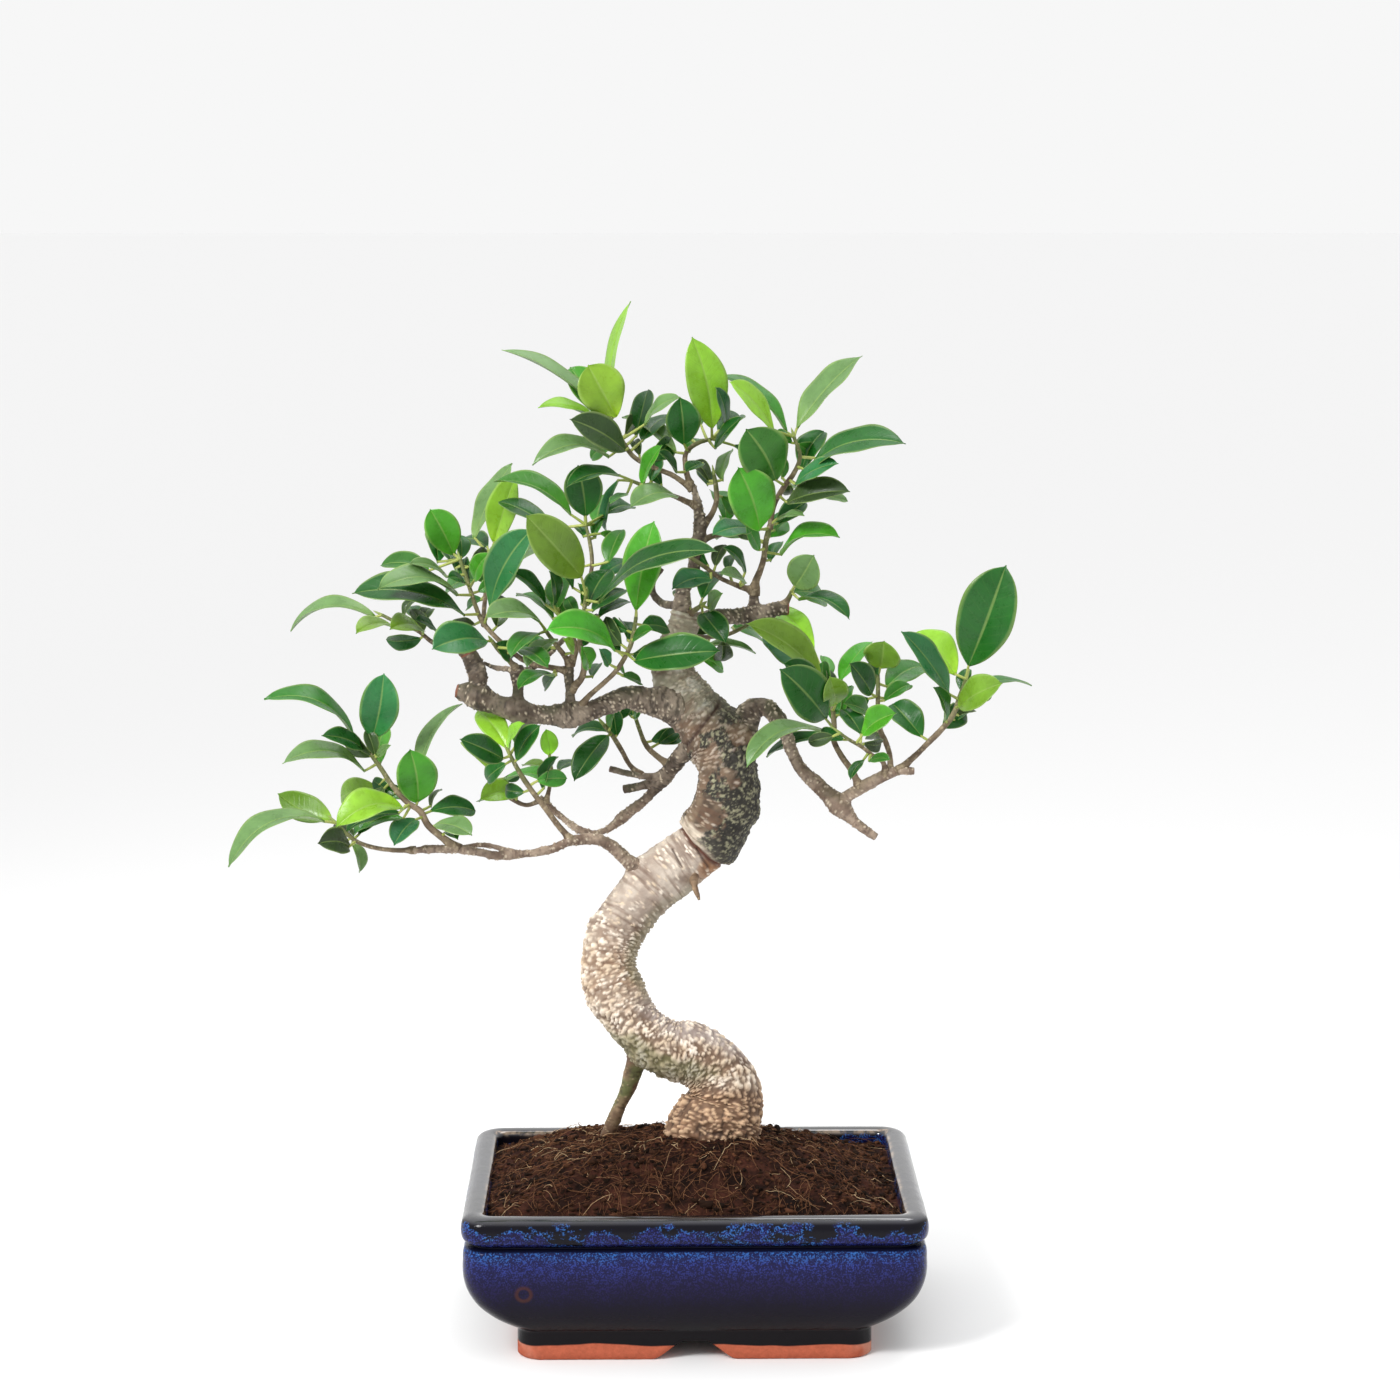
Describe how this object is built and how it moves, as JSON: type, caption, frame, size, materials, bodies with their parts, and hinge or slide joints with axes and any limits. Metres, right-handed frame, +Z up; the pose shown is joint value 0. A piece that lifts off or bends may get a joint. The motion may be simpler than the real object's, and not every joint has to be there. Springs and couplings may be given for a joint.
{
  "type": "bonsai tree in a pot",
  "caption": "Fig bonsai with a curved S-shaped trunk, an aerial root and pointed glossy leaves, growing in a rectangular blue glazed pot with a foot",
  "frame": {"origin": "on the surface the pot stands on, under the middle of the whole plant's bounding box; the pot's middle is 28 mm further along +X", "axes": "+Z up, the tallest extent; +X to the right along the pot's long side as seen from the front; the front of the tree faces -Y, and Y is the shallow direction"},
  "size_m": [0.3812, 0.156, 0.4937],
  "materials": {
    "pot": "gloss",
    "drain_mesh": "matte",
    "soil": "matte",
    "trunk_bark": "matte",
    "branch_bark": "matte",
    "foliage": "satin"
  },
  "bodies": {
    "root": {"apex_inner_spray": "foliage", "apex_left_spray": "foliage", "apex_low_left_spray": "foliage", "apex_right_spray": "foliage", "apex_side_spray": "foliage", "apex_stem": "branch_bark", "apex_top_spray": "foliage", "centre_front_spray": "foliage", "centre_high_spray": "foliage", "centre_left_spray": "foliage", "centre_spray": "foliage", "drain_mesh_left": "drain_mesh", "drain_mesh_right": "drain_mesh", "far_left_outer_spray": "foliage", "far_left_rising_spray": "foliage", "hub_spray": "foliage", "hub_under_spray": "foliage", "left_back_spray": "foliage", "left_branch": "branch_bark", "left_front_spray": "foliage", "left_high_spray": "foliage", "left_outer_spray": "foliage", "low_left_branch": "branch_bark", "low_left_rising_spray": "foliage", "mid_left_branch": "branch_bark", "mid_left_inner_spray": "foliage", "mid_left_near_spray": "foliage", "mid_left_outer_spray": "foliage", "mid_left_upright_spray": "foliage", "pot": "pot", "right_branch": "branch_bark", "right_end_spray": "foliage", "right_inner_spray": "foliage", "right_middle_spray": "foliage", "right_small_spray": "foliage", "soil": "soil", "trunk": "trunk_bark", "upper_inner_spray": "foliage", "upper_right_branch": "branch_bark", "upper_right_end_spray": "foliage", "upper_right_spray": "foliage"}
  },
  "joints": []
}
